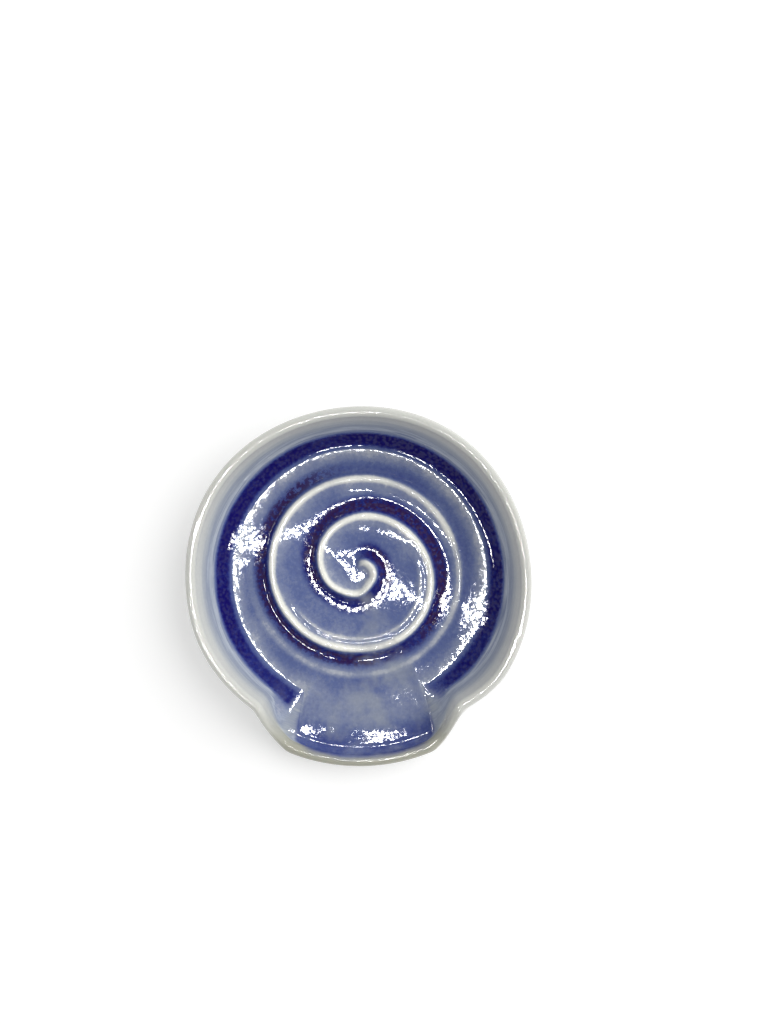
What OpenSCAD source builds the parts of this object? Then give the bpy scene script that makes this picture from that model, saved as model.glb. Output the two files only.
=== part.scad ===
// Wheel-thrown spoon rest with a spiral finger groove and a folded lip, in millimetres.
// The flat base lies on z = 0, centred on the dish's axis. The lip faces the front, -Y.
// Angles are turned clockwise as seen from above, from +X, so that the front is at 90.
// Every surface is one grid of columns (angles) and rings (steps along the section).

/* [Dish] */
// Diameter of the floor, out to where the wall starts to rise
floor_d = 92.5; // [70:0.5:120]
// Width of the wall seen from above, from the floor's edge to the outside of the rim
wall_w = 14; // [12.5:0.25:20]
// How far the hand-thrown rim strays from a true circle
rim_stray = 0.5; // [0:0.1:1]
// Height of the rim above the table
rim_h = 20; // [15:0.5:30]
// Thickness of the rounded rim
rim_t = 3.7; // [3:0.1:5]
// Height of the deepest groove above the table
floor_h = 3.6; // [3:0.1:6]
// Rise of the floor from its grooves to its edge
floor_rise = 0.6; // [0.5:0.1:2.5]
// Width of the hollow that turns the floor into the wall
foot_sweep = 5.5; // [5:0.5:9]
// Outward lean of the inside wall over its upper part
wall_flare = 1.8; // [0.5:0.1:3]
// Outward swell of the outside wall just above the base
wall_belly = 5; // [2:0.5:6]
// How far the flat base reaches out past the floor's edge
base_out = 2.75; // [1:0.25:6]
// Height and width of the bevel round the base
base_bevel = 2; // [1:0.25:3]

/* [Finger groove] */
// Height of the ridge above the groove beside it
ridge_h = 2.4; // [1:0.1:3]
// Width of the ridge's steep side, which faces outward
ridge_side = 3.8; // [2:0.1:5]

/* [Lip] */
// Width of the gap in the wall at the floor's edge, between the wall's two ends
mouth_w = 40; // [30:0.5:56]
// How far the lip stands out past the rim
lip_reach = 8; // [3:0.5:14]
// Height of the lip's edge above the table
lip_h = 9.6; // [8:0.1:14]
// Thickness of the lip's rounded edge
lip_t = 4.2; // [3:0.1:5]
// Width of the lip's edge and the hollow behind it
lip_edge_w = 7.5; // [7:0.5:14]
// Outward swell of the lip's underside just above the base
lip_belly = 10.5; // [4:0.5:12]
// Rise of the lip's floor above the foot of the wall
lip_rise = 1.4; // [0:0.1:2.5]
// Length of rim over which the rim bends out to the lip
fold_run = 20; // [12:1:32]
// How far outside the floor's left corner that fold is centred, along the rim
left_fold_out = 7.5; // [1:0.5:14]
// How far outside the floor's right corner that fold is centred, along the rim
right_fold_out = 4; // [1:0.5:14]
// Length of rim over which the wall's ends come down to the lip
end_run = 14; // [10:1:24]
// How far the rim draws in beside the lip
rim_pinch = 3; // [0:0.1:4]
// Length of floor edge over which the foot of the wall turns out into the lip
corner_run = 4.5; // [3:0.5:10]
// Angle by which the lip sits to the right of the front
lip_skew = 2.1; // [-5:0.1:5]

/* [Glaze] */
// Thickness of the glaze on the crest of the ridge
glaze_thin = 0.35; // [0.2:0.05:0.6]
// Thickness of the glaze where it pooled in the grooves
glaze_pool = 0.9; // [0.6:0.05:1.2]
// Thickness of the glaze on the wall
glaze_wall = 0.5; // [0.3:0.05:0.8]
// Share of the inside wall's curve that the blue glaze covers
well_share = 0.6; // [0.3:0.05:0.8]
// Share of the outside wall's curve that the pale glaze covers
glazed_share = 0.8; // [0.4:0.05:0.9]

/* [Hidden] */

floor_r = floor_d / 2;
rim_r = floor_r + wall_w;
base_r = floor_r + base_out;
// Middle of the rounded rim, and of the lip's rounded edge
rim_z = rim_h - rim_t / 2;
lip_z = lip_h - lip_t / 2;
foot_z = floor_h + floor_rise;
lip_foot_z = foot_z + lip_rise;
lip_r = rim_r + lip_reach;
lip_foot_r = lip_r - lip_edge_w;

// Handles of the section's curves, as [radius, height]: on the inside from the foot of the
// wall up to the rim, and on the outside from the rim down to the bevel
handle_h = 0.4;
foot_sweep_rise = 0.8;
lip_sweep = 2;
lip_sweep_rise = 0.1;
lip_flare = 0.7;
wall_inside = [
    [floor_r, foot_z],
    [floor_r + foot_sweep, foot_z + foot_sweep_rise],
    [rim_r - rim_t - wall_flare, mix(foot_z, rim_z, handle_h)],
    [rim_r - rim_t, rim_z]
];
lip_inside = [
    [lip_foot_r, lip_foot_z],
    [lip_foot_r + lip_sweep, lip_foot_z + lip_sweep_rise],
    [lip_r - lip_t - lip_flare, mix(lip_foot_z, lip_z, handle_h)],
    [lip_r - lip_t, lip_z]
];
rim_tuck = 1;
wall_handle_h = 0.62;
belly_h = 3.4;
lip_tuck = 1;
lip_handle_h = 0.3;
lip_belly_h = 0.4;
bevel_top = [base_r + base_bevel, base_bevel];
wall_outside = [
    [rim_r, rim_z],
    [rim_r - rim_tuck, mix(base_bevel, rim_z, wall_handle_h)],
    bevel_top + [wall_belly, belly_h],
    bevel_top
];
lip_outside = [
    [lip_r, lip_z],
    [lip_r - lip_tuck, mix(base_bevel, lip_z, lip_handle_h)],
    bevel_top + [lip_belly, lip_belly_h],
    bevel_top
];

// The rim strays outward this many times in a turn, first at this angle
stray_lobes = 4;
stray_at = 35;

// Angle of the lip, half the angle that it takes up at the floor's edge, and the angles
// over which the floor's edge turns out, the rim bends out and the wall comes down
lip_at = 90 - lip_skew;
mouth_a = asin(mouth_w / floor_d);
corner_a = corner_run / floor_r * 180 / PI;
fold_a = fold_run / rim_r * 180 / PI;
left_fold_a = mouth_a + left_fold_out / rim_r * 180 / PI;
right_fold_a = mouth_a + right_fold_out / rim_r * 180 / PI;
drop_a = end_run / rim_r * 180 / PI;
// Angles outside the folds over which the rim draws in
left_pinch_a = 45;
right_pinch_a = 27;

// Columns in one turn, closer together round the two corners of the lip
lip_columns = 8;
corner_columns = 12;
wall_columns = 40;
columns = lip_columns + 2 * corner_columns + wall_columns;
near_a = mouth_a - corner_a;
half_wall = wall_columns / 2;
column_angles = [
    [0, lip_at - 180],
    [half_wall, lip_at - right_fold_a - fold_a / 2],
    [half_wall + corner_columns, lip_at - near_a],
    [half_wall + corner_columns + lip_columns, lip_at + near_a],
    [columns - half_wall, lip_at + left_fold_a + fold_a / 2],
    [columns, lip_at + 180]
];

// The ridge is one line that winds out from the middle of the floor and dies away before
// it meets the floor's edge. Its radius is given in hundredths of the floor's radius,
// at every eighth of a turn from ridge_from on.
ridge_path = [
    0, 10, 11.5, 11, 10, 13.5, 17.5, 27.5,
    39.5, 47, 51, 56, 58.5, 57.5, 61.5, 68.5,
    74.5, 77, 78, 78.5, 78.5, 78.5, 81.5, 87,
    91, 94, 97, 100
];
eighth = 45;
ridge_from = 225;
ridge_to = ridge_from + eighth * (len(ridge_path) - 1);
// The ridge stands up between the first two of these angles and lies down between the others
ridge_heights = [[245, 300], [980, 1200]];
// How hollow the ridge's gentle side is, where 1 is straight, and the most of the way to
// the next turn that its steep side takes up
ridge_hollow = 1.8;
most_side = 0.45;
// Beyond this share of the floor's radius the floor starts to rise to the wall, in a curve.
// Towards the lip it levels off at this share of the way to the lip's edge.
rise_from = 0.775;
rise_hollow = 3;
level_at = 0.93;

// Rings over the ridge's steep side, and over the floor from one turn to the next
side_steps = 3;
floor_rings = 6;
// Rings on the inside wall below and above the glaze line, over the rim, and outside
low_rings = 4;
high_rings = 2;
rim_rings = 4;
side_rings = 4;
// Share of the inside curve that the blue glaze covers in the lip
lip_well_share = 0.9;
turns = ceil((ridge_to - column_angles[0][1]) / 360) + 1;
strip_columns = turns * columns;
floor_columns = strip_columns + columns + 1;
floor_points = floor_columns * floor_rings;
well_ring = low_rings;
glaze_ring = low_rings + high_rings + rim_rings + side_rings;
base_ring = glaze_ring + 2;
// Depth below the table to which the body is built before its base is cut flat
cut_depth = 1;
// Nearer than this to the middle or to the floor's edge, the ridge's line is taken to be there
line_snap = 1;

function clamp(x) = min(1, max(0, x));
function smooth(x) = let (s = clamp(x)) s * s * (3 - 2 * s);
function mix(a, b, w) = a + (b - a) * w;
function from_front(t) = (t - lip_at + 180 + 360 * turns) % 360 - 180;
// 1 inside the lip, 0 round the wall, and a smooth step of the given run between them
function in_lip(t, mid, run) = smooth((mid + run / 2 - abs(from_front(t))) / run);
function fold_mid(t) = from_front(t) < 0 ? right_fold_a : left_fold_a;
function lip_outline(t) = in_lip(t, fold_mid(t), fold_a);
function lip_height(t) = in_lip(t, fold_mid(t), drop_a);
function lip_foot(t) = in_lip(t, mouth_a, corner_a);

// Points on a cubic curve with four handles, and the direction of the curve there
function bezier(p, u) = let (v = 1 - u)
    v * v * v * p[0] + 3 * v * v * u * p[1] + 3 * v * u * u * p[2] + u * u * u * p[3];
function bezier_way(p, u) = let (v = 1 - u)
    v * v * (p[1] - p[0]) + 2 * v * u * (p[2] - p[1]) + u * u * (p[3] - p[2]);
function left_of(way) = [-way[1], way[0]] / norm(way);

// Radius of the floor's edge, and of the ridge's line
function foot_r(t) = mix(floor_r, lip_foot_r, lip_foot(t));
function knot(i) = ridge_path[min(len(ridge_path) - 1, max(0, i))];
function between_knots(i, f) = let (a = knot(i - 1), b = knot(i), c = knot(i + 1), d = knot(i + 2))
    b + f * (c - a + f * (2 * a - 5 * b + 4 * c - d + f * (3 * (b - c) + d - a))) / 2;
function ridge_r(t) = let (
        x = (t - ridge_from) / eighth,
        edge = foot_r(t),
        r = floor_r * between_knots(floor(x), x - floor(x)) / 100
    )
    t <= ridge_from || r < line_snap ? 0
    : t >= ridge_to || edge - r < line_snap ? edge
    : r;
function ridge_stand(t) = let (up = ridge_heights[0], down = ridge_heights[1])
    smooth((t - up[0]) / (up[1] - up[0])) * smooth((down[1] - t) / (down[1] - down[0]));

// Angle of a column, counted on from turn to turn
function angle_of(j) = 360 * (floor(j / columns) - 1)
    + lookup(j - columns * floor(j / columns), column_angles);

// Width of the ridge's steep side, where gap is left before the ridge's next turn
function side_w(gap) = min(ridge_side, most_side * gap);
// Height of the floor at radius r, x outward of the ridge's line that passes inside it,
// and how far up the ridge that is, from 0 in the groove to 1 on the crest
function floor_at(t, r, x, gap) = let (
        side = side_w(gap),
        down = gap > 0 ? ridge_stand(t) * (1 - smooth(x / side)) : 0,
        slope = gap > 0 ? pow(clamp((x - side) / (gap - side)), ridge_hollow) : 0,
        crest = down + ridge_stand(t + 360) * slope,
        start = rise_from * floor_r,
        out = clamp((r - start) / (foot_r(t) - start)),
        to_wall = floor_rise * pow(out, rise_hollow),
        to_lip = (floor_rise + lip_rise) * smooth(out / level_at),
        rise = mix(to_wall, to_lip, lip_foot(t))
    ) [floor_h + rise + ridge_h * crest, clamp(crest)];

// A grid point is [angle, radius, height, way out of the clay (radial, up), glaze there]
function floor_point(j, s) = let (
        t = angle_of(j),
        r0 = ridge_r(t),
        to_next = ridge_r(t + 360) - r0,
        gap = to_next < line_snap ? 0 : to_next,
        side = side_w(gap),
        x = s <= side_steps
            ? side * s / side_steps
            : mix(side, gap, (s - side_steps) / (floor_rings - side_steps)),
        at = floor_at(t, r0 + x, x, gap)
    ) [t, r0 + x, at[0], 0, 1, mix(glaze_pool, glaze_thin, at[1])];

// The handles at angle t, each between the wall's and the lip's, and moved by how far the
// wall's rim strays out and draws in
function pinch(t) = let (run = from_front(t) < 0 ? right_pinch_a : left_pinch_a)
    rim_pinch * smooth((fold_mid(t) + run - abs(from_front(t))) / run);
function stray(t) = rim_stray * cos(stray_lobes * (t - stray_at)) - pinch(t);
function between(wall, lip, w, move) = [for (i = [0 : 3]) [
    mix(wall[i][0] + move[i], lip[i][0], w[i][0]),
    mix(wall[i][1], lip[i][1], w[i][1])
]];
function inside(t) = let (foot = lip_foot(t), top = [lip_outline(t), lip_height(t)])
    between(wall_inside, lip_inside, [[foot, foot], [foot, foot], top, top],
        stray(t) * [0, 0, 1, 1]);
function outside(t) = let (up = lip_height(t), top = [lip_outline(t), up])
    between(wall_outside, lip_outside, [top, top, [up, up], [up, up]],
        stray(t) * [1, 1, 0, 0]);

function curve_point(t, p, u, glaze) = let (at = bezier(p, u), way = left_of(bezier_way(p, u)))
    [t, at[0], at[1], way[0], way[1], glaze];
function rim_point(t, tilt) = let (
        thick = mix(rim_t, lip_t, lip_outline(t)),
        top = outside(t)[0],
        way = [cos(tilt), sin(tilt)],
        at = top + thick / 2 * (way - [1, 0])
    ) [t, at[0], at[1], way[0], way[1], mix(glaze_thin, glaze_wall, abs(cos(tilt)))];

// Ring k of the wall at angle t, counted from the foot of the inside wall
function wall_point(t, k) = let (
        share = mix(well_share, lip_well_share, lip_height(t)),
        k_rim = k - low_rings - high_rings,
        k_side = k_rim - rim_rings
    )
    k <= low_rings
        ? curve_point(t, inside(t), share * k / low_rings, mix(glaze_pool, glaze_wall, k / low_rings))
    : k_rim <= 0
        ? curve_point(t, inside(t), mix(share, 1, (k - low_rings) / high_rings), glaze_wall)
    : k_side <= 0
        ? rim_point(t, 180 * (1 - k_rim / rim_rings))
    : k_side <= side_rings
        ? curve_point(t, outside(t), glazed_share * k_side / side_rings, glaze_wall)
    : k_side == side_rings + 1
        ? curve_point(t, outside(t), 1, 0)
        : [t, base_r - cut_depth, -cut_depth, 0, -1, 0];

grid = concat(
    [for (j = [0 : floor_columns - 1]) for (s = [0 : floor_rings - 1]) floor_point(j, s)],
    [for (k = [1 : base_ring]) for (j = [0 : columns - 1]) wall_point(angle_of(j), k)]
);
function place(p, depth) = let (r = p[1] - depth * p[3])
    [r * cos(p[0]), -r * sin(p[0]), p[2] - depth * p[4]];
glaze_face = [for (p = grid) place(p, 0)];
clay_face = [for (p = grid) place(p, p[5])];

// Numbers of the grid points. The outer edge of a floor column is the inner edge of the
// column one turn on. Points in the middle are one point, and so are those that have
// reached the floor's edge, which is ring 0 of the wall. Where the ridge's line leaves the
// middle, the column inside it has only its two ends.
function edge_id(j) = (strip_columns + j % columns) * floor_rings;
function line_r(j) = grid[j * floor_rings][1];
function leaves_middle(j) = line_r(j) > 0 && line_r(j - 1) == 0;
function floor_id(j, s) = let (i = j * floor_rings + s)
    s == floor_rings || s > 0 && leaves_middle(j + columns) ? floor_id(j + columns, 0)
    : grid[i][1] == 0 ? 0
    : grid[i][1] == foot_r(grid[i][0]) ? edge_id(j)
    : i;
function ring_id(j, k) = k == 0 ? edge_id(j) : floor_points + (k - 1) * columns + j % columns;
floor_cells = [for (j = [0 : strip_columns - 1]) for (s = [0 : floor_rings - 1])
    [floor_id(j, s), floor_id(j, s + 1), floor_id(j + 1, s + 1), floor_id(j + 1, s)]];
function ring_cells(from, to) = [for (k = [from : to - 1]) for (j = [0 : columns - 1])
    [ring_id(j, k), ring_id(j, k + 1), ring_id(j + 1, k + 1), ring_id(j + 1, k)]];
// The cells that close a shell along ring k, between the glaze face and the clay face
function edge_cells(k, n) = [for (j = [0 : columns - 1])
    [ring_id(j, k), ring_id(j, k) + n, ring_id(j + 1, k) + n, ring_id(j + 1, k)]];
function flip(cells) = [for (c = cells) [c[0], c[3], c[2], c[1]]];
function moved(cells, n) = [for (c = cells) [for (i = c) i + n]];
// Both halves of each cell, without those that come to nothing where the ridge's line
// starts and ends
function halves(cells) = [for (c = cells) for (h = [[c[0], c[1], c[3]], [c[1], c[2], c[3]]])
    if (h[0] != h[1] && h[1] != h[2] && h[2] != h[0]) h];

// A coat of glaze over a patch of the grid, closed by the cells along its edges
module coat(cells, edges) {
    points = concat(glaze_face, clay_face);
    back = moved(flip(cells), len(glaze_face));
    polyhedron(points, halves(concat(cells, back, edges)));
}

// The fired clay: floor, wall, rim and lip in one piece, cut flat underneath
module stoneware_body() color("tan") {
    base = [for (j = [0 : columns - 1]) ring_id(j, base_ring)];
    points = concat(clay_face, [[0, 0, -cut_depth]]);
    under = [for (j = [0 : columns - 1]) [base[j], len(clay_face), base[(j + 1) % columns]]];
    cells = concat(floor_cells, ring_cells(0, base_ring));
    difference() {
        polyhedron(points, concat(halves(cells), under));
        translate([0, 0, -rim_h / 2]) cube([4 * rim_r, 4 * rim_r, rim_h], center = true);
    }
}

// Blue glaze in the grooves, on the lip's floor and at the foot of the wall
module well_glaze() color("royalblue") {
    n = len(glaze_face);
    coat(concat(floor_cells, ring_cells(0, well_ring)), edge_cells(well_ring, n));
}

// Pale grey-green glaze on the upper wall, over the rim and down the outside
module rim_glaze() color("lightslategray") {
    n = len(glaze_face);
    coat(ring_cells(well_ring, glaze_ring),
        concat(flip(edge_cells(well_ring, n)), edge_cells(glaze_ring, n)));
}

stoneware_body();
well_glaze();
rim_glaze();
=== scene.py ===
"""The looks of a wheel-thrown, glazed spoon rest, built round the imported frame.

The dish is one grid of points: columns are angles round the wheel's axis, rows run from the
middle of the floor out to the foot of the wall, up its inside, over the rim and down its
outside. The two coats of glaze and the clay are made from that grid.

Sizes are in millimetres until a mesh is made from them. Angles are in degrees, clockwise as
seen from above, from +X, so that the lip in front is near 90. In the functions r is a radius,
z a height and t an angle.
"""

import math

import bpy
import numpy as np
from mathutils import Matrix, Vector


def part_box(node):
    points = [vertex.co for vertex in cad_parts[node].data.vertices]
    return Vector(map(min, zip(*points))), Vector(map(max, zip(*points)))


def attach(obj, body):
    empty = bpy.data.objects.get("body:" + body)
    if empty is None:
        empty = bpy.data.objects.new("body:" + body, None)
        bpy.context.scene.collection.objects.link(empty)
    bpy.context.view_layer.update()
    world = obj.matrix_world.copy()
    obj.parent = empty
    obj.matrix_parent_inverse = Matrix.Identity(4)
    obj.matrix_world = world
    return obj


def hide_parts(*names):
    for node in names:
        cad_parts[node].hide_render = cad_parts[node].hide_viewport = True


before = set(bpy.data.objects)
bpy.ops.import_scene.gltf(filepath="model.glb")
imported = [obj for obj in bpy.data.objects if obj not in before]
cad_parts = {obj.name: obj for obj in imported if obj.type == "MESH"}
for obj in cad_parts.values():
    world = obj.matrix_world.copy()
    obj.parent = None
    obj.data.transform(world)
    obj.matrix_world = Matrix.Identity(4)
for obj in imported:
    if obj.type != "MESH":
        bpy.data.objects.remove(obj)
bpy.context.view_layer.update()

MM = 0.001
# The least that a length is divided by
TINY = 1e-12

# The dish. Its outermost sizes come from the frame.
RIM_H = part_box("rim_glaze")[1].z / MM
LIP_R = -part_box("rim_glaze")[0].y / MM
RIM_R, RIM_T = 60.25, 3.7
FLOOR_R, FLOOR_H = 46.25, 3.6
BASE_R, BASE_BEVEL = 49, 2
RIM_Z = RIM_H - RIM_T / 2

# The floor rises to the foot of the wall, from this share of its radius on
FLOOR_RISE, RISE_FROM, RISE_HOLLOW = 0.6, 0.775, 3
FOOT_Z = FLOOR_H + FLOOR_RISE

# How the wall sweeps up inside, and how it tucks in under the rim and bellies out above the base
FOOT_SWEEP, FOOT_SWEEP_RISE, WALL_FLARE, HANDLE_H = 5.5, 1.15, 1.8, 0.4
RIM_TUCK, WALL_HANDLE_H, WALL_BELLY, BELLY_H = 1, 0.62, 5, 3.4

# The rim strays from a circle in this many lobes, and is pinched in on both sides of the lip
RIM_STRAY, STRAY_AT, STRAY_LOBES = 0.5, 35, 4
RIM_PINCH, LEFT_PINCH_A, RIGHT_PINCH_A = 3, 45, 27

# The lip: the angle of its middle, its sizes, and how it sweeps, tucks and bellies
LIP_AT = 87.9
LIP_H, LIP_T, LIP_EDGE_W, LIP_RISE = 9.6, 4.2, 7.5, 1.4
LIP_SWEEP, LIP_SWEEP_RISE, LIP_FLARE = 2, 0.1, 0.7
LIP_TUCK, LIP_HANDLE_H, LIP_BELLY, LIP_BELLY_H = 1, 0.3, 10.5, 0.4
LIP_Z = LIP_H - LIP_T / 2
LIP_FOOT_Z = FOOT_Z + LIP_RISE
LIP_FOOT_R = LIP_R - LIP_EDGE_W

# The width of the gap in the wall at its foot, and the lengths round the wheel over which the
# wall folds out beside it, the foot turns the corner and the wall drops to the lip
MOUTH_W, FOLD_RUN, CORNER_RUN, DROP_RUN = 40, 20, 4.5, 14
LEFT_FOLD_OUT, RIGHT_FOLD_OUT = 7.5, 4
MOUTH_A = math.degrees(math.asin(MOUTH_W / 2 / FLOOR_R))
FOLD_A = math.degrees(FOLD_RUN / RIM_R)
CORNER_A = math.degrees(CORNER_RUN / FLOOR_R)
DROP_A = math.degrees(DROP_RUN / RIM_R)
LEFT_FOLD_A = MOUTH_A + math.degrees(LEFT_FOLD_OUT / RIM_R)
RIGHT_FOLD_A = MOUTH_A + math.degrees(RIGHT_FOLD_OUT / RIM_R)

# The lip's floor rises from where the dish's does, and is level from this share of the way to
# its foot on. It blends with the dish's floor over this many times the corner's length.
LEVEL_AT, FLOOR_BLEND = 0.9, 6
# The crease where the lip's floor turns up is softened by a bell of this many rows, up to
# about this many rows from it
LIP_SOFT, LIP_SOFT_REACH = 6, 16

# The ridge's line: its radius in hundredths of the floor's, at every eighth of a turn
RIDGE_PATH = [
    0, 10, 11.5, 11, 10, 13.5, 17.5, 27.5, 39.5, 47, 51, 56, 58.5, 57.5,
    61.5, 68.5, 74.5, 77, 78, 78.5, 78.5, 78.5, 81.5, 87, 91, 94, 97, 100,
]
EIGHTH, RIDGE_FROM = 45, 225
RIDGE_TO = RIDGE_FROM + EIGHTH * (len(RIDGE_PATH) - 1)
# Angles along the ridge between which it rises from the floor, and sinks into it again
RIDGE_UP, RIDGE_DOWN = (245, 300), (980, 1155)
# The ridge's height, the width of its steep outer side, the most that this side takes of the
# way to the next turn, how hollow its gentle inner side is, and how far its crest is rounded
RIDGE_H, RIDGE_SIDE, MOST_SIDE, RIDGE_HOLLOW, CREST_SOFT = 2.4, 3.8, 0.45, 1.8, 0.5
# The steep side is wider for part of the second turn
WIDE_FROM, WIDE_TO, WIDE_FADE, WIDE_SHARE = 590, 700, 60, 1.5
# A low shoulder runs inside the ridge for part of its second turn, beyond a shallow dip
SHOULDER_UP, SHOULDER_DOWN = (680, 730), (850, 900)
SHOULDER_IN, SHOULDER_W, SHOULDER_H = 3.9, 0.9, 0.25
DIP_IN, DIP_W, DIP_H = 2.0, 0.9, 0.3

# Thickness of the glaze where it is thinnest, where it pooled deepest and on the wall
GLAZE_THIN, GLAZE_POOL, GLAZE_WALL = 0.35, 0.9, 0.5
# The blue coat ends at these shares of the inside wall and of the lip's edge, and the pale
# coat at this share of the outside
WELL_SHARE, LIP_WELL_SHARE, GLAZED_SHARE = 0.6, 0.9, 0.8

# How deep the glaze pooled, from 0 on the crest to 1 where it is deepest: in the middle, round
# the floor's edge, just above it and up the wall, and how far the floor's pools are blurred
POOL_MIDDLE, POOL_EDGE, POOL_FOOT, POOL_WALL, POOL_SOFT = 0.45, 0.26, 0.5, 0.3, 0.25
# Radii between which the floor's pools give way to those of its edge
EDGE_SPAN = (39.5, 46)
# The pool in the groove lies outside the ridge. It is as wide as the first of GROOVE_TO up to
# the angles GROOVE_NARROWS, and as the second beyond. Past POOL_DOWN only POOL_LAST is left.
GROOVE_FROM, GROOVE_FADE_IN, GROOVE_FADE_OUT, GROOVE_DEPTH = 0.9, 1.1, 3.0, 0.88
GROOVE_TO, GROOVE_NARROWS = (5.8, 5.0), (700, 780)
POOL_DOWN, POOL_LAST = (905, 985), 0.25
# The thin glaze on the crest reaches this far out and in, with a fainter tail further in. It
# begins over the angles THIN_UP, fades to THIN_LAST over THIN_DOWN, and ends over THIN_END.
CREST_OUT_W, CREST_IN_W, CREST_TAIL_W, CREST_TAIL = 1.25, 1.65, 5, 0.4
THIN_UP, THIN_DOWN, THIN_END, THIN_LAST = (245, 300), (900, 1180), (1150, 1330), 0.5
SHOULDER_THIN = 0.6
# The pool in the lip deepens outwards between these radii, and goes on up the lip's edge
LIP_POOL_NEAR, LIP_POOL_FAR, LIP_POOL_SPAN, LIP_POOL_WALL = 0.36, 0.62, (52, 61), 0.6
# A navy ring runs along the foot of the wall, between these shares of the wall
RING_FROM, RING_FADE_IN, RING_TO, RING_FADE_OUT = 0.02, 0.14, 0.36, 0.16
# From this angle on it is less deep towards the lip. It ends this far from the mouth's sides.
RING_BLUE_TO, RING_BLUE = 110, 0.82
RING_END, LEFT_END_FADE, RIGHT_END_FADE = 2, 5, 12

# Iron came up as dark specks outside the ridge, along these stretches of it, and in the ring
IRON_SPANS, IRON_FADE = [(270, 370), (500, 750), (770, 950)], 40
IRON_FROM, IRON_FADE_IN, IRON_TO, IRON_FADE_OUT = 1.6, 1.4, 5.0, 2.6
RING_IRON = 0.05

# Where the pale glaze starts on the wall, on the lip's edge and on the wall's cut ends, as
# shares of the blue coat's rows above the floor, and the rows over which it fades in there
PALE_FROM, LIP_PALE_FROM, END_PALE_FROM = 0.8, 1.68, 0.03
PALE_ROWS, LIP_PALE_ROWS, END_PALE_ROWS = 6, 10, 60
# The cut ends' angle from the lip's middle, how wide each one's start and fade are, and how
# far up the wall's colours they begin
END_AT, END_W, END_FADE_W, END_UP = 27, 4.5, 7, 0.45
# The rim's own colour holds for this many rows on either side of its top, and then fades
RIM_PALE_ROWS, RIM_FADE_ROWS = 8, 12

# Rows of the grid: on the floor, up the inside to the seam of the two coats and on to the rim,
# over the rim and down to the glaze line. Below them the clay is bare.
FLOOR_ROWS, LOW_ROWS, HIGH_ROWS, RIM_ROWS, SIDE_ROWS = 130, 28, 14, 16, 30
SEAM_ROW = FLOOR_ROWS + LOW_ROWS
LINE_ROW = SEAM_ROW + HIGH_ROWS + RIM_ROWS + SIDE_ROWS
BARE_ROWS = 8
# Rows of the bevel, as shares of it, and of the base, as shares of its radius
BEVEL_SHARES, BASE_SHARES = (0.5, 1), (0.98, 0.8, 0.5, 0.2)
# Columns of the grid, which lie closer together in the lip's span
LIP_COLUMNS, WALL_COLUMNS, LIP_SPAN = 200, 280, 100
# The clay, and the back of a coat against it, have only every fifth row
BACK_STEP = 5
# Edges of the clay that turn by more than this are left sharp
SHARP_A = 35


def smooth(x):
    """A smooth step from 0 to 1 as x goes from 0 to 1."""
    s = np.clip(x, 0, 1)
    return s * s * (3 - 2 * s)


def mix(a, b, share):
    return a + (b - a) * share


def rising(x, span):
    """0 before the span, 1 after it, and a smooth step between."""
    return smooth((x - span[0]) / (span[1] - span[0]))


def falling(x, span):
    """1 before the span, 0 after it, and a smooth step between."""
    return smooth((span[1] - x) / (span[1] - span[0]))


def between(x, low, fade_in, high, fade_out):
    """0 below low and beyond high, 1 between them, with a smooth step of the given length after each."""
    return smooth((x - low) / fade_in) * (1 - smooth((x - high) / fade_out))


def bump(x, middle, width):
    """1 at the middle, falling off on both sides like a bell of the given half width."""
    return np.exp(-(((x - middle) / width) ** 2))


def stripe(x, width):
    """1 at and near 0, falling off beyond the given width."""
    return np.exp(-abs(x / width) ** 3)


def column_angles():
    """Angles of one turn of columns, closer together round the lip."""
    start = LIP_AT - LIP_SPAN / 2
    lip = start + np.arange(LIP_COLUMNS) * LIP_SPAN / LIP_COLUMNS
    wall = start + LIP_SPAN + np.arange(WALL_COLUMNS) * (360 - LIP_SPAN) / WALL_COLUMNS
    return np.concatenate([lip, wall])


# Each column's angle, how far it is to the left of the lip's middle, and how far to either side
ANGLES = column_angles()
TO_LEFT = (ANGLES - LIP_AT + 180) % 360 - 180
FROM_LIP = abs(TO_LEFT)


def by_side(left, right):
    """One value in the columns to the left of the lip's middle, and another to the right."""
    return np.where(TO_LEFT < 0, right, left)


def in_lip(middle, run):
    """1 inside the lip, 0 round the wall, and a smooth step of the given run between them."""
    return smooth((middle + run / 2 - FROM_LIP) / run)


# How far each column is in the lip: with its outline, its height, its foot and its floor
FOLD_MIDDLE = by_side(LEFT_FOLD_A, RIGHT_FOLD_A)
LIP_OUTLINE = in_lip(FOLD_MIDDLE, FOLD_A)
LIP_HEIGHT = in_lip(FOLD_MIDDLE, DROP_A)
LIP_FOOT = in_lip(MOUTH_A, CORNER_A)
LIP_FLOOR = in_lip(MOUTH_A, FLOOR_BLEND * CORNER_A)
FOOT_R = mix(FLOOR_R, LIP_FOOT_R, LIP_FOOT)


def ridge_r(t):
    """Radius of the ridge's line at each angle, counted on from turn to turn.

    The line is a Catmull-Rom curve through the points of its path.
    """
    x = (t - RIDGE_FROM) / EIGHTH
    i = np.floor(x).astype(int)
    f = x - i
    a, b, c, d = (np.take(RIDGE_PATH, i + n, mode="clip") for n in (-1, 0, 1, 2))
    r = b + f * (c - a + f * (2 * a - 5 * b + 4 * c - d + f * (3 * (b - c) + d - a))) / 2
    r = np.clip(r * FLOOR_R / 100, 0, FOOT_R)
    return np.where(t <= RIDGE_FROM, 0, np.where(t >= RIDGE_TO, FOOT_R, r))


def ridge_share(t):
    """How much of its height the ridge has."""
    return rising(t, RIDGE_UP) * falling(t, RIDGE_DOWN)


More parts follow.
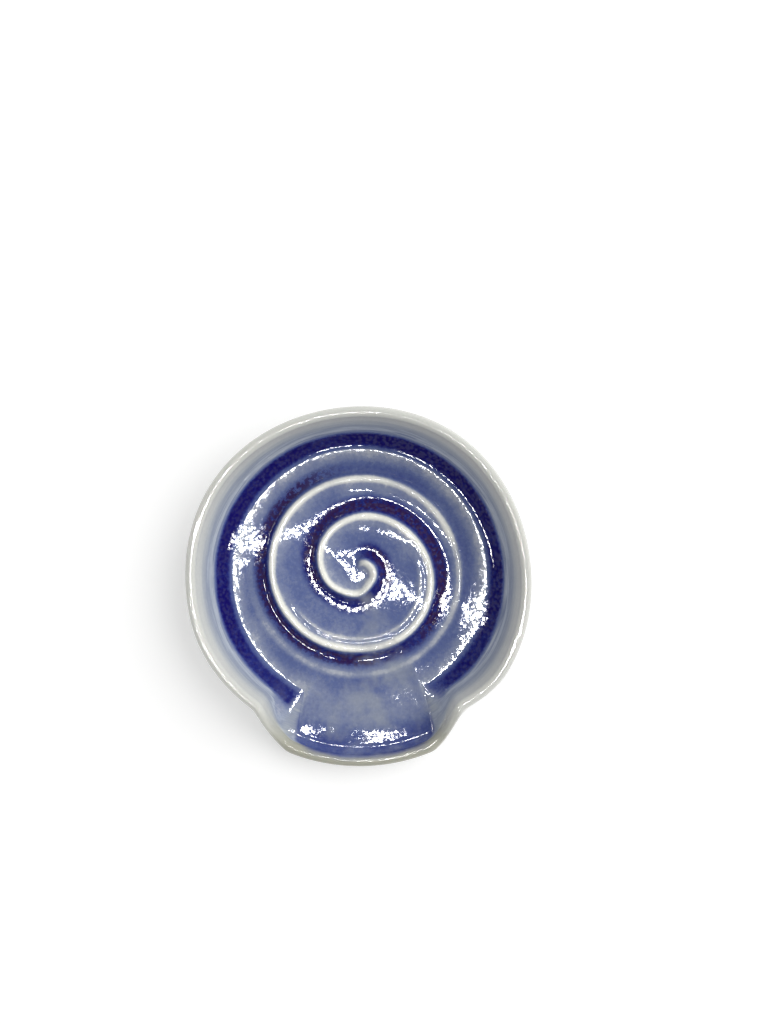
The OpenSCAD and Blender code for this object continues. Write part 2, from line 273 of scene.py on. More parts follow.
def shoulder_share(t):
    """How much of its height the shoulder inside the ridge has."""
    return rising(t, SHOULDER_UP) * falling(t, SHOULDER_DOWN)


def thin_share(t):
    """How thin the glaze is on the crest, which it covers better towards the ridge's end."""
    covered = mix(1, THIN_LAST, rising(t, THIN_DOWN))
    return covered * (rising(t, THIN_UP) * (1 - rising(t, THIN_END)))


def iron_share(t):
    return sum(between(t, low, IRON_FADE, high, IRON_FADE) for low, high in IRON_SPANS)


def groove_height(t, past, left, gap):
    """What the ridge adds to the floor between its turn at t and the next one.

    Past and left are the distances from this turn and to the next, and gap is the whole way.
    """
    wide = mix(1, WIDE_SHARE, between(t, WIDE_FROM, WIDE_FADE, WIDE_TO, WIDE_FADE))
    side = np.maximum(np.minimum(RIDGE_SIDE, MOST_SIDE * gap), TINY) * wide
    steep = ridge_share(t) * (1 - smooth(past / side))
    gentle = np.clip((past - side) / np.maximum(gap - side, TINY), 0, 1) ** RIDGE_HOLLOW
    fine = SHOULDER_H * bump(left, SHOULDER_IN, SHOULDER_W) - DIP_H * bump(left, DIP_IN, DIP_W)
    return RIDGE_H * (steep + ridge_share(t + 360) * gentle) + shoulder_share(t + 360) * fine


def groove_pool(t, past, left):
    """How deep the glaze pooled between two turns, which is least on the crest and the shoulder."""
    width = mix(*GROOVE_TO, rising(t, GROOVE_NARROWS))
    groove = between(past, GROOVE_FROM, GROOVE_FADE_IN, width, GROOVE_FADE_OUT)
    groove = ridge_share(t) * groove * mix(POOL_LAST, 1, 1 - rising(t, POOL_DOWN))
    tail = np.maximum(stripe(left, CREST_IN_W), CREST_TAIL * bump(left, 0, CREST_TAIL_W))
    crest = np.maximum(thin_share(t) * stripe(past, CREST_OUT_W), thin_share(t + 360) * tail)
    shoulder = SHOULDER_THIN * shoulder_share(t + 360) * bump(left, SHOULDER_IN, SHOULDER_W)
    return mix(mix(POOL_MIDDLE, GROOVE_DEPTH, groove), 0, np.maximum(crest, shoulder))


def groove_iron(t, past):
    return iron_share(t) * between(past, IRON_FROM, IRON_FADE_IN, IRON_TO, IRON_FADE_OUT)


def ridge_rows(r):
    """What the ridge adds to the floor's height, how deep the glaze pooled, and its iron specks."""
    first = 360 * math.floor((ANGLES.min() - RIDGE_FROM) / 360 - 1)
    height, pool, iron = np.zeros_like(r), np.full_like(r, POOL_MIDDLE), np.zeros_like(r)
    for turn in range(math.ceil((RIDGE_TO - first) / 360)):
        t = ANGLES + first + 360 * turn
        this, following = ridge_r(t), ridge_r(t + 360)
        past, left = r - this, following - r
        here = (past >= 0) & (left > 0)
        height = np.where(here, groove_height(t, past, left, following - this), height)
        pool = np.where(here, groove_pool(t, past, left), pool)
        iron = np.where(here, groove_iron(t, past), iron)
    return height, pool, iron


def blurred(rows, step, width):
    """Rows smoothed along the section by a bell of the given width, rows being step apart."""
    reach = math.ceil(3 * width / step)
    bell = np.exp(-0.5 * (np.arange(-reach, reach + 1) * step / width) ** 2)
    padded = np.concatenate([rows[reach:0:-1], rows, np.repeat(rows[-1:], reach, 0)])
    return sum(w * padded[i : i + len(rows)] for i, w in enumerate(bell / bell.sum()))


def bezier(curve, u):
    """The point at share u of a curve, which is given by its four handles."""
    v = 1 - u
    return v**3 * curve[0] + 3 * v * v * u * curve[1] + 3 * v * u * u * curve[2] + u**3 * curve[3]


def bezier_way(curve, u):
    """Unit vector out of the clay at share u of a curve."""
    v = 1 - u
    first, middle, last = np.diff(curve, axis=0)
    way = v * v * first + 2 * v * u * middle + u * u * last
    return np.array([-way[1], way[0]]) / np.hypot(way[0], way[1])


def handles(wall, lip, shares, strays):
    """A curve's four handles in each column, as an array of [handle, radius or height, column].

    Shares says how far the radius and the height of each handle are the lip's in each column,
    and strays whether the wall's handle strays from a circle with the rim.
    """
    run = by_side(LEFT_PINCH_A, RIGHT_PINCH_A)
    pinch = RIM_PINCH * smooth((FOLD_MIDDLE + run - FROM_LIP) / run)
    stray = RIM_STRAY * np.cos(np.radians(STRAY_LOBES * (ANGLES - STRAY_AT))) - pinch
    rows = []
    for (wall_r, wall_z), (lip_r, lip_z), (r_share, z_share), on in zip(wall, lip, shares, strays):
        rows.append([mix(wall_r + on * stray, lip_r, r_share), mix(wall_z, lip_z, z_share)])
    return np.array(rows)


def inside_handles():
    wall = [
        (FLOOR_R, FOOT_Z),
        (FLOOR_R + FOOT_SWEEP, FOOT_Z + FOOT_SWEEP_RISE),
        (RIM_R - RIM_T - WALL_FLARE, mix(FOOT_Z, RIM_Z, HANDLE_H)),
        (RIM_R - RIM_T, RIM_Z),
    ]
    lip = [
        (LIP_FOOT_R, LIP_FOOT_Z),
        (LIP_FOOT_R + LIP_SWEEP, LIP_FOOT_Z + LIP_SWEEP_RISE),
        (LIP_R - LIP_T - LIP_FLARE, mix(LIP_FOOT_Z, LIP_Z, HANDLE_H)),
        (LIP_R - LIP_T, LIP_Z),
    ]
    foot, top = (LIP_FOOT, LIP_FOOT), (LIP_OUTLINE, LIP_HEIGHT)
    return handles(wall, lip, [foot, foot, top, top], [0, 0, 1, 1])


def outside_handles():
    bevel_r = BASE_R + BASE_BEVEL
    wall = [
        (RIM_R, RIM_Z),
        (RIM_R - RIM_TUCK, mix(BASE_BEVEL, RIM_Z, WALL_HANDLE_H)),
        (bevel_r + WALL_BELLY, BASE_BEVEL + BELLY_H),
        (bevel_r, BASE_BEVEL),
    ]
    lip = [
        (LIP_R, LIP_Z),
        (LIP_R - LIP_TUCK, mix(BASE_BEVEL, LIP_Z, LIP_HANDLE_H)),
        (bevel_r + LIP_BELLY, BASE_BEVEL + LIP_BELLY_H),
        (bevel_r, BASE_BEVEL),
    ]
    top, low = (LIP_OUTLINE, LIP_HEIGHT), (LIP_HEIGHT, LIP_HEIGHT)
    return handles(wall, lip, [top, top, low, low], [1, 1, 0, 0])


def floor_rows():
    """The floor's rows, see skin."""
    share = np.linspace(0, 1, FLOOR_ROWS + 1)[:, None]
    r = share * FOOT_R
    start = RISE_FROM * FLOOR_R
    out = np.clip((r - start) / (FOOT_R - start), 0, 1)
    to_wall = FLOOR_RISE * out**RISE_HOLLOW
    to_lip = (FLOOR_RISE + LIP_RISE) * smooth(out / LEVEL_AT)
    rise = mix(to_wall, to_lip, mix(LIP_FLOOR, LIP_FOOT, out**2))
    ridge, pool, iron = ridge_rows(r)
    step = FLOOR_R / FLOOR_ROWS
    z = FLOOR_H + rise + blurred(ridge, step, CREST_SOFT)
    lip_pool = mix(LIP_POOL_NEAR, LIP_POOL_FAR, rising(r, LIP_POOL_SPAN))
    edge_pool = mix(POOL_EDGE, lip_pool, LIP_FOOT)
    pool = mix(blurred(pool, step, POOL_SOFT), edge_pool, rising(r, EDGE_SPAN))
    glaze = mix(GLAZE_THIN, GLAZE_POOL, pool)
    return r, z, np.zeros_like(r), np.ones_like(r), glaze, pool, iron


def curve_rows(curve, shares, glaze, pool, iron=0):
    """Rows along one of the section's curves, at the given shares of it, see skin."""
    r, z = np.stack([bezier(curve, u) for u in shares], 1)
    way_r, way_z = np.stack([bezier_way(curve, u) for u in shares], 1)
    return r, z, way_r, way_z, glaze + 0 * r, pool + 0 * r, iron + 0 * r


def wall_pool(shares):
    """How deep the glaze pooled at shares of the inside wall, and its iron specks."""
    foot = mix(POOL_EDGE, POOL_FOOT, smooth(shares / RING_FROM))
    deep = mix(RING_BLUE, 1, smooth(FROM_LIP / RING_BLUE_TO))
    ring = between(shares, RING_FROM, RING_FADE_IN, RING_TO, RING_FADE_OUT)
    above = smooth((shares - RING_TO) / RING_FADE_OUT)
    wall = mix(mix(foot, deep, ring), POOL_WALL, above)
    fade = by_side(LEFT_END_FADE, RIGHT_END_FADE)
    mouth = 1 - smooth((FROM_LIP - MOUTH_A - RING_END) / fade)
    return mix(wall, LIP_POOL_WALL, mouth), RING_IRON * ring * (1 - mouth)


def inside_rows(curve):
    """The inside wall: the foot up to the line where the blue coat ends, and on up to the rim."""
    seam = mix(WELL_SHARE, LIP_WELL_SHARE, LIP_HEIGHT)
    low = np.arange(1, LOW_ROWS + 1)[:, None] / LOW_ROWS
    high = np.arange(1, HIGH_ROWS + 1)[:, None] / HIGH_ROWS
    shares = np.concatenate([seam * low, mix(seam, 1, high)])
    glaze = np.concatenate([mix(GLAZE_POOL, GLAZE_WALL, low), GLAZE_WALL + 0 * high])
    return curve_rows(curve, shares, glaze, *wall_pool(shares))


def rim_rows(curve):
    """The rounded rim, a half circle from the inside over the top to the outside's curve."""
    thick = mix(RIM_T, LIP_T, LIP_OUTLINE)
    tilt = np.radians(180 * (1 - np.arange(1, RIM_ROWS + 1) / RIM_ROWS))[:, None]
    way_r, way_z = np.cos(tilt) + 0 * ANGLES, np.sin(tilt) + 0 * ANGLES
    rim_r, rim_z = curve[0]
    r = rim_r + thick / 2 * (way_r - 1)
    z = rim_z + thick / 2 * way_z
    glaze = mix(GLAZE_THIN, GLAZE_WALL, abs(way_r))
    pool = mix(POOL_WALL, LIP_POOL_WALL, LIP_HEIGHT)
    return r, z, way_r, way_z, glaze, pool + 0 * r, 0 * r


def side_rows(curve):
    """The outside down to the glaze line."""
    shares = GLAZED_SHARE * np.arange(1, SIDE_ROWS + 1)[:, None] / SIDE_ROWS + 0 * ANGLES
    return curve_rows(curve, shares, GLAZE_WALL, POOL_WALL)


def skin():
    """The glazed surface as arrays of [row, column].

    They are the radius, the height, the way out of the clay (radial, up), the thickness of
    the glaze, how deep it pooled, and how speckled it is with iron.
    """
    outside = outside_handles()
    parts = [floor_rows(), inside_rows(inside_handles()), rim_rows(outside), side_rows(outside)]
    return [np.concatenate(rows) for rows in zip(*parts)]


def softened(z):
    """The heights of the skin, with the crease at the foot of the lip's edge softened."""
    row = np.arange(len(z))[:, None]
    soft = in_lip(MOUTH_A + CORNER_A / 2, CORNER_A) * bump(row, FLOOR_ROWS, LIP_SOFT_REACH)
    return mix(z, blurred(z, 1, LIP_SOFT), soft)


def placed(r, z):
    """Points in metres from radii and heights in each column."""
    t = np.radians(ANGLES)
    return np.stack([r * np.cos(t), -r * np.sin(t), z + 0 * t], -1) * MM


def grid_normals(points):
    """Unit normals of a grid of points, out of the clay."""
    along = np.gradient(points, axis=0)
    around = np.roll(points, -1, 1) - np.roll(points, 1, 1)
    normals = np.cross(around, along)
    normals[0] = (0, 0, 1)
    return normals / np.maximum(np.linalg.norm(normals, axis=-1, keepdims=True), TINY)


def lathe(name, rows, tips=(None, None), cyclic=False):
    """A mesh of rows of points, each a ring, with a tip point before or after them."""
    count = len(ANGLES)
    points = rows.reshape(-1, 3)
    faces = []
    column = np.arange(count)
    after = (column + 1) % count
    last = len(rows) - 1
    pairs = [(row, row + 1) for row in range(last)]
    if cyclic:
        pairs.append((last, 0))
    for a, b in pairs:
        quad = [a * count + column, a * count + after, b * count + after, b * count + column]
        faces += np.stack(quad, -1).tolist()
    for tip, row, turn in ((tips[0], 0, (after, column)), (tips[1], last, (column, after))):
        if tip is not None:
            points = np.concatenate([points, [tip]])
            faces += [[len(points) - 1, row * count + a, row * count + b] for a, b in zip(*turn)]
    mesh = bpy.data.meshes.new(name)
    mesh.from_pydata(points.tolist(), [], faces)
    mesh.shade_smooth()
    piece = bpy.data.objects.new(name, mesh)
    bpy.context.scene.collection.objects.link(piece)
    return piece


def store(piece, name, values):
    """A point attribute of one number or three for each point."""
    kind, field = ("FLOAT", "value") if values.ndim == 1 else ("FLOAT_VECTOR", "vector")
    attribute = piece.data.attributes.new(name, kind, "POINT")
    attribute.data.foreach_set(field, values.astype(np.float32).ravel())


def wheel_place(points):
    """Direction round the wheel, on a circle of the floor's radius, and length along the section."""
    r = np.hypot(points[..., 0], points[..., 1])
    step = np.linalg.norm(np.diff(points, axis=0), axis=-1)
    length = np.concatenate([0 * step[:1], np.cumsum(step, 0)])
    t = np.radians(ANGLES) + 0 * r
    return np.stack([np.cos(t) * FLOOR_R * MM, np.sin(t) * FLOOR_R * MM, length], -1)


def colour_facts(top, pool, iron):
    """What the glaze's colours go by, as arrays of [row, column].

    Pale says where the pale glaze lies over the blue, up how far up the wall a point is, rim
    and lip how far it belongs to them, and lay where it lies on the wheel.
    """
    row = np.arange(len(pool))[:, None] + 0 * pool
    wall_end = bump(FROM_LIP, END_AT, END_W)
    start = mix(mix(PALE_FROM, LIP_PALE_FROM, LIP_HEIGHT), END_PALE_FROM, wall_end)
    above = row - FLOOR_ROWS - LOW_ROWS * start
    fade = mix(PALE_ROWS, LIP_PALE_ROWS, LIP_HEIGHT)
    fade = mix(fade, END_PALE_ROWS, bump(FROM_LIP, END_AT, END_FADE_W))
    up = np.clip(above / np.maximum(LOW_ROWS * (1 - start) + HIGH_ROWS, 1), 0, 1)
    rim_row = SEAM_ROW + HIGH_ROWS + RIM_ROWS / 2
    return {
        "pool": pool,
        "iron": iron,
        "pale": smooth(above / fade + 0.5),
        "up": np.maximum(up, END_UP * wall_end),
        "rim": 1 - smooth((abs(row - rim_row) - RIM_PALE_ROWS) / RIM_FADE_ROWS),
        "lay": wheel_place(top),
        "lip": LIP_OUTLINE + 0 * row,
    }


def coat(name, top, clay, normals, facts, first, last, closed_middle):
    """A closed shell of glaze from row first to row last, finely meshed on its outer face."""
    rows = np.arange(first, last + 1)
    back = np.unique(np.append(rows[::BACK_STEP], last))[::-1]
    points = np.concatenate([top[rows], clay[back]])
    tips = (top[0, 0], clay[0, 0]) if closed_middle else (None, None)
    piece = lathe(name, points, tips, cyclic=not closed_middle)

    def spread(values):
        flat = np.concatenate([values[rows], values[back]]).reshape(-1, *values.shape[2:])
        return np.concatenate([flat, values[:1, 0], values[:1, 0]]) if closed_middle else flat

    outward = np.concatenate([normals[rows], -normals[back]]).reshape(-1, 3)
    if closed_middle:
        outward = np.concatenate([outward, [(0, 0, 1), (0, 0, -1)]])
    piece.data.normals_split_custom_set_from_vertices(outward.tolist())
    for fact, values in facts.items():
        store(piece, fact, spread(values))
    return piece


def bare_rows():
    """The outside below the glaze line, the bevel and the flat base, as radii and heights.

    From the line down the clay comes out to where the glaze's face would be.
    """
    curve = outside_handles()
    steps = np.arange(1, BARE_ROWS + 1) / BARE_ROWS
    shares = [mix(GLAZED_SHARE, 1, a) for a in steps]
    depth = [GLAZE_WALL * (1 - smooth(a)) for a in steps]
    side = [bezier(curve, u) - d * bezier_way(curve, u) for u, d in zip(shares, depth)]
    flat = 0 * ANGLES
    bevel = [(BASE_R + BASE_BEVEL * (1 - a) + flat, BASE_BEVEL * (1 - a) + flat) for a in BEVEL_SHARES]
    base = [(BASE_R * a + flat, flat) for a in BASE_SHARES]
    return np.stack(side + bevel + base, 1)


def clay_body(name, clay):
    """The fired clay: its face under the glaze, then the bare outside and base, as one solid."""
    rows = np.unique(np.append(np.arange(1, LINE_ROW + 1)[::BACK_STEP], LINE_ROW))
    points = np.concatenate([clay[rows], placed(*bare_rows())])
    piece = lathe(name, points, (clay[0, 0], (0, 0, 0)))
    piece.data.set_sharp_from_angle(angle=math.radians(SHARP_A))
    return piece


def grey(value):
    return (value, value, value, 1)


def srgb(red, green, blue):
    """A colour as seen on screen, 0 to 255, turned into the linear colour that a shader takes."""
    def linear(c):
        c = c / 255
        return c / 12.92 if c <= 0.04045 else ((c + 0.055) / 1.055) ** 2.4
    return (linear(red), linear(green), linear(blue), 1)


# A Mix node's sockets for colours. Its other kinds of value have sockets of the same names.
MIX_SHARE, MIX_A, MIX_B, MIX_RESULT = 0, 6, 7, 2


class Graph:
    """A material's or world's nodes. A node's inputs are given by name or number."""

    def __init__(self, owner):
        owner.use_nodes = True
        self.tree = owner.node_tree
        self.tree.nodes.clear()

    def add(self, kind, inputs=None, **settings):
        node = self.tree.nodes.new("ShaderNode" + kind)
        for name, value in settings.items():
            setattr(node, name, value)
        for key, value in (inputs or {}).items():
            if isinstance(value, bpy.types.NodeSocket):
                self.tree.links.new(value, node.inputs[key])
            else:
                node.inputs[key].default_value = value
        return node

    def math(self, operation, *values, clamp=False):
        inputs = dict(enumerate(values))
        return self.add("Math", inputs, operation=operation, use_clamp=clamp).outputs[0]

    def plus(self, a, b):
        return self.math("ADD", a, b)

    def times(self, a, b):
        return self.math("MULTIPLY", a, b)

    def swing(self, value, amount):
        """A value round a half, turned into one round zero that varies by the given amount."""
        return self.times(self.math("SUBTRACT", value, 0.5), amount)

    def vector(self, operation, *values):
        return self.add("VectorMath", dict(enumerate(values)), operation=operation).outputs[0]

    def fact(self, name, output="Fac"):
        """What the mesh stores under this name at each point."""
        return self.add("Attribute", attribute_name=name).outputs[output]

    def noise(self, vector, scale, detail, roughness):
        inputs = {"Vector": vector, "Scale": scale, "Detail": detail, "Roughness": roughness}
        return self.add("TexNoise", inputs).outputs["Fac"]

    def ramp(self, value, stops):
        node = self.add("ValToRGB", {"Fac": value})
        elements = node.color_ramp.elements
        while len(elements) < len(stops):
            elements.new(0.5)
        for element, (place, colour) in zip(elements, stops):
            element.position = place
            element.color = colour
        return node.outputs["Color"]

    def span(self, value, low, high):
        """0 below low, 1 above high, and a smooth step between."""
        inputs = {"Value": value, "From Min": low, "From Max": high}
        return self.add("MapRange", inputs, interpolation_type="SMOOTHSTEP").outputs["Result"]

    def blend(self, share, a, b):
        """A mix of two colours, with the given share of the second."""
        inputs = {MIX_SHARE: share, MIX_A: a, MIX_B: b}
        return self.add("Mix", inputs, data_type="RGBA").outputs[MIX_RESULT]


# Noises in the glaze: how fine each one is, its detail and its roughness
CLOUDS, GRAIN, SPECKS = (90, 3, 0.5), (700, 4, 0.7), (620, 3, 0.7)
HAZE_CLOUDS, WAVES = (75, 3, 0.6), (250, 1, 0.5)
# Fine bands run round the wheel: a noise that is stretched along it
BAND_STRETCH, BANDS = (60, 60, 900), (1, 3, 0.6)

# Colours of the glaze from where it is thinnest to where it pooled
POOL_STOPS = [
    (0.0, srgb(252, 251, 242)),
    (0.12, srgb(222, 223, 220)),
    (0.3, srgb(134, 143, 171)),
    (0.45, srgb(98, 111, 156)),
    (0.62, srgb(76, 88, 144)),
    (0.82, srgb(36, 44, 118)),
    (1.0, srgb(21, 15, 96)),
]
# How much the colour varies with the clouds, and with the grain where the pool is deepest
CLOUD_VARIES, GRAIN_VARIES = 0.3, 0.7
# Iron shows where its noise is above this span, is helped up by how much iron there is, and
# covers this much of the blue
IRON, IRON_SHOWS, IRON_HELPS, IRON_COVERS = srgb(50, 28, 74), (0.51, 0.61), 0.1, 0.9
# Pale clouds in the lip's glaze, where they show, and how much of it they cover
HAZE, HAZE_SHOWS, LIP_HAZE = srgb(158, 164, 172), (0.45, 0.7), 0.55
# Colours of the wall from the blue glaze's edge up to the rim, and how much they vary
WALL_STOPS = [
    (0.0, srgb(134, 144, 168)),
    (0.2, srgb(182, 190, 201)),
    (0.42, srgb(150, 158, 175)),
    (0.7, srgb(170, 177, 186)),
    (1.0, srgb(202, 206, 205)),
]
WALL_VARIES = 1.1
# The rim's own colour, and the lip's rim: its khaki glaze is darkened with painted shade, as the lip's
# outside is turned from the key light
RIM_COLOUR, LIP_RIM_TONE_AND_SHADE = srgb(211, 212, 206), srgb(172, 172, 158)
# The pale glaze's edge is frayed by the bands, and in the lip by the clouds as well
FRAYED, LIP_FRAYED, PALE_SHOWS = 0.5, 0.7, (0.05, 0.95)

# The gloss, and the height of the glaze's faint waves, to which the pale glaze's bands add
GLAZE_ROUGH, GLAZE_IOR, WAVE_H, BAND_WAVES = 0.06, 1.4, 0.02, 1.5
# The glaze's orange peel is small facets: how many there are in a metre, how far they tilt, as
# twice the tangent of their angle, how much a facet shines in its middle and at its rim,
# where that rim begins and ends, and how much of it is missing in the pale glaze
PEEL_SCALE, PEEL_TILT, PEEL_SHINE, PEEL_DULL = 920, 0.017, 0.9, 0.06
PEEL_RIM, PEEL_PALE = (0.44, 0.6), 0.6


def pooled_colour(graph, place, cloud):
    """Cream to navy by how deep the glaze pooled, with iron specks, and hazy in the lip."""
    pool, iron, lip = graph.fact("pool"), graph.fact("iron"), graph.fact("lip")
    mottle = graph.swing(graph.noise(place, *GRAIN), graph.times(pool, GRAIN_VARIES))
    shade = graph.plus(mottle, graph.plus(graph.swing(cloud, CLOUD_VARIES), pool))
    blue = graph.ramp(shade, POOL_STOPS)
    specks = graph.plus(graph.noise(place, *SPECKS), graph.times(iron, IRON_HELPS))
    cover = graph.math("MULTIPLY", iron, IRON_COVERS, clamp=True)
    blue = graph.blend(graph.times(graph.span(specks, *IRON_SHOWS), cover), blue, IRON)
    haze = graph.span(graph.noise(place, *HAZE_CLOUDS), *HAZE_SHOWS)
    return graph.blend(graph.times(graph.times(lip, haze), LIP_HAZE), blue, HAZE)


def wall_colour(graph, bands):
    """Pale grey-green in bands round the wheel, and palest on the rim, whose part on the lip is khaki
    darkened with painted shade.
    """
    shade = graph.plus(graph.fact("up"), graph.swing(bands, WALL_VARIES))
    # On the lip the rim takes its khaki with painted shade
    rim = graph.blend(graph.fact("lip"), RIM_COLOUR, LIP_RIM_TONE_AND_SHADE)
    return graph.blend(graph.fact("rim"), graph.ramp(shade, WALL_STOPS), rim)


def pale_share(graph, cloud, bands):
    """How far the pale glaze covers the blue."""
    over = graph.plus(graph.fact("pale"), graph.swing(bands, FRAYED))
    ragged = graph.swing(cloud, graph.times(graph.fact("lip"), LIP_FRAYED))
    return graph.span(graph.plus(over, ragged), *PALE_SHOWS)


def glaze_gloss(graph, place, bands):
    """The gloss of small facets of orange peel over faint waves, as inputs of the shader."""
    pale = graph.fact("pale")
    banding = graph.times(graph.times(bands, pale), BAND_WAVES)
    waves = graph.plus(graph.noise(place, *WAVES), banding)
    wavy = graph.add("Bump", {"Distance": WAVE_H * MM, "Height": waves}).outputs["Normal"]
    facet = graph.add("TexVoronoi", {"Vector": place, "Scale": PEEL_SCALE})
    tilt = graph.vector("SUBTRACT", facet.outputs["Color"], (0.5, 0.5, 0.5))
    peel = graph.vector("MULTIPLY_ADD", tilt, (PEEL_TILT, PEEL_TILT, PEEL_TILT), wavy)
    normal = graph.vector("NORMALIZE", peel)
    rim = graph.span(facet.outputs["Distance"], *PEEL_RIM)
    rim = graph.times(rim, graph.math("MULTIPLY_ADD", pale, -PEEL_PALE, 1))
    shine = graph.math("MULTIPLY_ADD", rim, PEEL_DULL - PEEL_SHINE, PEEL_SHINE)
    return {"Normal": normal, "Roughness": GLAZE_ROUGH, "IOR": GLAZE_IOR, "Specular IOR Level": shine}


def glaze_material(name):
    """Glass that is pale where thin and navy where it pooled, and paler still up the wall."""
    material = bpy.data.materials.new(name)
    graph = Graph(material)
    place = graph.add("TexCoord").outputs["Object"]
    cloud = graph.noise(place, *CLOUDS)
    streak = graph.vector("MULTIPLY", graph.fact("lay", "Vector"), BAND_STRETCH)
    bands = graph.noise(streak, *BANDS)
    blue, wall = pooled_colour(graph, place, cloud), wall_colour(graph, bands)
    colour = graph.blend(pale_share(graph, cloud, bands), blue, wall)
    gloss = glaze_gloss(graph, place, bands)
    shader = graph.add("BsdfPrincipled", {"Base Color": colour, **gloss})
    graph.add("OutputMaterial", {"Surface": shader.outputs[0]})
    return material


# The bare clay's noises, as in the glaze, its colours, its dark specks, and its grain
CLAY_GRAIN, CLAY_CLOUDS, CLAY_SPECKS = (1500, 4, 0.7), (60, 3, 0.5), (900, 2, 0.5)
CLAY_STOPS = [(0.3, srgb(196, 176, 146)), (0.7, srgb(212, 194, 166))]
CLAY_SPECK, CLAY_SPECK_SHOWS, CLAY_SPECK_COVERS = srgb(120, 84, 58), (0.66, 0.72), 0.6
CLAY_GRAIN_H, CLAY_ROUGH = 0.03, 0.88
# The cutting wire's marks are waves on the base, and end between these heights above it
WIRE, WIRE_COVERS, WIRE_SPAN = srgb(176, 154, 122), 0.35, (0.4, 0.1)
WIRE_SCALE, WIRE_STRAYS, WIRE_DETAIL = 160, 2.0, 2.0


def wire_marks(graph, place):
    """Where the cutting wire left its marks, on the base alone."""
    waves = {"Scale": WIRE_SCALE, "Distortion": WIRE_STRAYS, "Detail": WIRE_DETAIL}
    wire = graph.add("TexWave", {"Vector": place, **waves}).outputs["Fac"]
    height = graph.add("SeparateXYZ", {0: place}).outputs["Z"]
    return graph.times(wire, graph.span(height, WIRE_SPAN[0] * MM, WIRE_SPAN[1] * MM))


def bare_clay_material(name):
    """Unglazed stoneware: matt and grainy, with the marks of the cutting wire underneath."""
    material = bpy.data.materials.new(name)
    graph = Graph(material)
    place = graph.add("TexCoord").outputs["Object"]
    colour = graph.ramp(graph.noise(place, *CLAY_CLOUDS), CLAY_STOPS)
    specks = graph.span(graph.noise(place, *CLAY_SPECKS), *CLAY_SPECK_SHOWS)
    colour = graph.blend(graph.times(specks, CLAY_SPECK_COVERS), colour, CLAY_SPECK)
    marks = wire_marks(graph, place)
    colour = graph.blend(graph.times(marks, WIRE_COVERS), colour, WIRE)
    relief = graph.plus(graph.noise(place, *CLAY_GRAIN), marks)
    normal = graph.add("Bump", {"Distance": CLAY_GRAIN_H * MM, "Height": relief}).outputs["Normal"]
    look = {"Base Color": colour, "Normal": normal, "Roughness": CLAY_ROUGH}
    shader = graph.add("BsdfPrincipled", look)
    graph.add("OutputMaterial", {"Surface": shader.outputs[0]})
    return material


def dress(piece, material, node):
    """Gives a piece its material, attaches it to the root body, and hides the frame's part that it
    stands in for.
    """
    piece.data.materials.append(material)
    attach(piece, "root")
    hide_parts(node)


def build_dish():
    r, z, way_r, way_z, glaze, pool, iron = skin()
    z = softened(z)
    top = placed(r, z)
    clay = placed(r - glaze * way_r, z - glaze * way_z)
    normals = grid_normals(top)
    facts = colour_facts(top, pool, iron)
    gloss = glaze_material("glaze")
    well = coat("blue_glaze_coat", top, clay, normals, facts, 1, SEAM_ROW, True)
    rim = coat("pale_glaze_coat", top, clay, normals, facts, SEAM_ROW, LINE_ROW, False)
    body = clay_body("fired_clay", clay)
    dress(well, gloss, "well_glaze")
    dress(rim, gloss, "rim_glaze")
    dress(body, bare_clay_material("bare_stoneware"), "stoneware_body")


# The floor is open under the base and clear to a camera below it, so that the base can be
# seen. To the camera and in reflections it also glows a little, so that it looks white.
FLOOR_EDGE_R, FLOOR_SIDES = 4200, 192
FLOOR_COLOUR, FLOOR_GLOW, FLOOR_WHITE = grey(0.85), (1, 1, 0.99, 1), 0.28


def floor_material(name):
    material = bpy.data.materials.new(name)
    graph = Graph(material)
    path = graph.add("LightPath").outputs
    mirrored = graph.math("MAXIMUM", path["Is Glossy Ray"], path["Is Transmission Ray"])
    seen = graph.math("MAXIMUM", path["Is Camera Ray"], mirrored)
    diffuse = graph.add("BsdfDiffuse", {"Color": FLOOR_COLOUR})
    glow = graph.add("Emission", {"Color": FLOOR_GLOW, "Strength": graph.times(seen, FLOOR_WHITE)})
    white = graph.add("AddShader", {0: diffuse.outputs[0], 1: glow.outputs[0]})
    below = graph.times(graph.add("NewGeometry").outputs["Backfacing"], path["Is Camera Ray"])
    clear = graph.add("BsdfTransparent")
    both = graph.add("MixShader", {0: below, 1: white.outputs[0], 2: clear.outputs[0]})
    graph.add("OutputMaterial", {"Surface": both.outputs[0]})
    return material


def make_floor():
    turn = np.radians(np.arange(FLOOR_SIDES) * 360 / FLOOR_SIDES)
    ring = np.stack([np.cos(turn), np.sin(turn), 0 * turn], -1) * MM
    points = np.concatenate([ring * BASE_R, ring * FLOOR_EDGE_R])
    inner = np.arange(FLOOR_SIDES)
    after = (inner + 1) % FLOOR_SIDES
    faces = np.stack([inner + FLOOR_SIDES, after + FLOOR_SIDES, after, inner], -1)
    mesh = bpy.data.meshes.new("floor")
    mesh.from_pydata(points.tolist(), [], faces.tolist())
    mesh.materials.append(floor_material("white_floor"))
    floor = bpy.data.objects.new("floor", mesh)
    bpy.context.scene.collection.objects.link(floor)


# The room's light from the sides to overhead, and how much of it the glaze mirrors
ROOM_STOPS = [(0.7, grey(0.8)), (0.92, grey(0.2))]
MIRRORED = 0.45


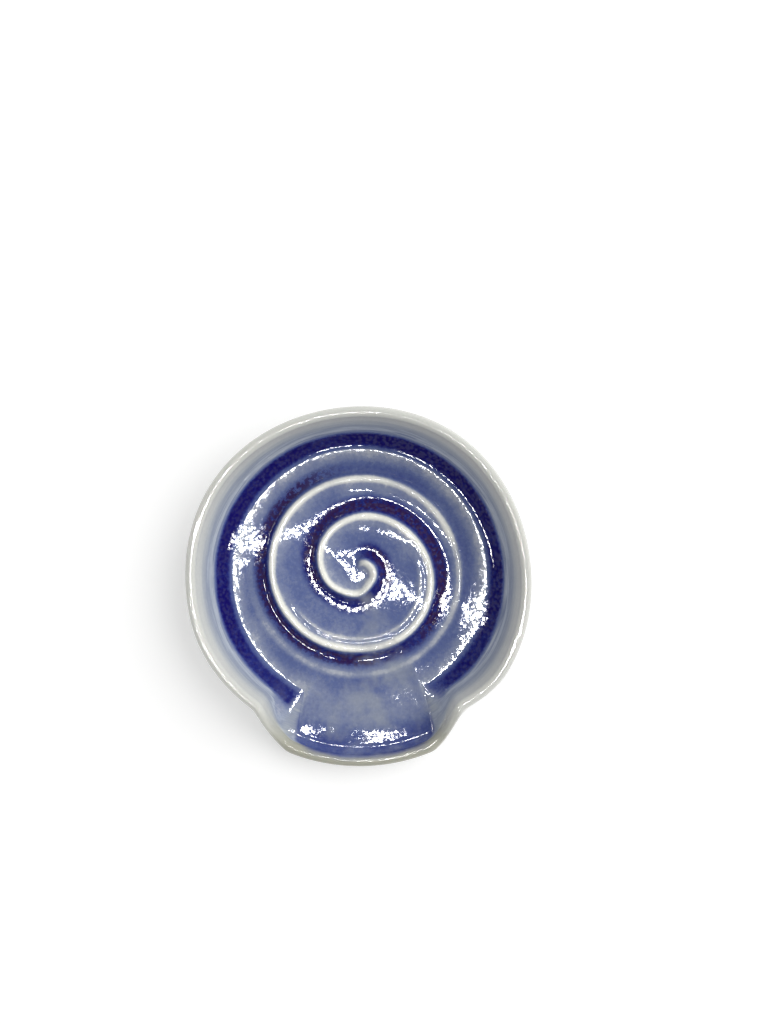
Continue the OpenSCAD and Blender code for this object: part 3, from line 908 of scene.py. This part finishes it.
def make_world():
    """Soft light all round, darker overhead and in reflections, and white where the camera sees it."""
    world = bpy.data.worlds.new("studio")
    bpy.context.scene.world = world
    graph = Graph(world)
    up = graph.add("SeparateXYZ", {0: graph.add("TexCoord").outputs["Generated"]}).outputs["Z"]
    path = graph.add("LightPath").outputs
    strength = graph.math("MULTIPLY_ADD", path["Is Glossy Ray"], MIRRORED - 1, 1)
    soft = graph.add("Background", {"Color": graph.ramp(up, ROOM_STOPS), "Strength": strength})
    white = graph.add("Background", {"Color": grey(1)})
    both = graph.add("MixShader", {0: path["Is Camera Ray"], 1: soft.outputs[0], 2: white.outputs[0]})
    graph.add("OutputWorld", {"Surface": both.outputs[0]})


# Two parallel lines of strip lamps beside the camera, which show as highlights alone: the
# middle of each line, and where its lamps start and end along it. Seen from above, the lines
# are turned clockwise from the X axis.
LINES = [((-8.85, -23.3), [(-182, 182)]), ((-39.6, -107.9), [(-182, 3), (33, 64)])]
STRIP_TURN, STRIP_W, STRIP_Z, STRIP_GLOW = 17, 7, 270, 380


def make_lamps():
    turn = -math.radians(STRIP_TURN)
    for (x, y), spans in LINES:
        for start, end in spans:
            middle = (start + end) / 2
            data = bpy.data.lights.new("strip_lamp", "AREA")
            data.shape, data.size, data.size_y = "RECTANGLE", (end - start) * MM, STRIP_W * MM
            data.energy = STRIP_GLOW * data.size * data.size_y
            lamp = bpy.data.objects.new("strip_lamp", data)
            place = (x + middle * math.cos(turn), y + middle * math.sin(turn), STRIP_Z)
            lamp.location = Vector(place) * MM
            lamp.rotation_euler = (0, 0, turn)
            lamp.visible_camera = False
            lamp.visible_diffuse = False
            bpy.context.scene.collection.objects.link(lamp)


# The key light falls from the back right, and is as soft as a window
KEY_FROM, KEY_POWER, KEY_ANGLE = (1.1, 0.6, 1.0), 1.75, 55


def make_key():
    data = bpy.data.lights.new("key", "SUN")
    data.energy, data.angle = KEY_POWER, math.radians(KEY_ANGLE)
    key = bpy.data.objects.new("key", data)
    key.visible_glossy = False
    key.rotation_euler = Vector(KEY_FROM).to_track_quat("Z", "Y").to_euler()
    bpy.context.scene.collection.objects.link(key)


# The camera of the photograph: it looks straight down from a little behind the dish
CAMERA = (8.85 * MM, 23.3 * MM, 274 * MM)
LENS, SENSOR, NEAREST = 26.0, 36.0, 10 * MM


def make_camera():
    data = bpy.data.cameras.new("camera")
    data.lens, data.sensor_width = LENS, SENSOR
    data.clip_start = NEAREST
    camera = bpy.data.objects.new("camera", data)
    camera.location = CAMERA
    bpy.context.scene.collection.objects.link(camera)
    bpy.context.scene.camera = camera


build_dish()
make_floor()
make_world()
make_lamps()
make_key()
make_camera()
bpy.context.scene.view_settings.view_transform = "Standard"
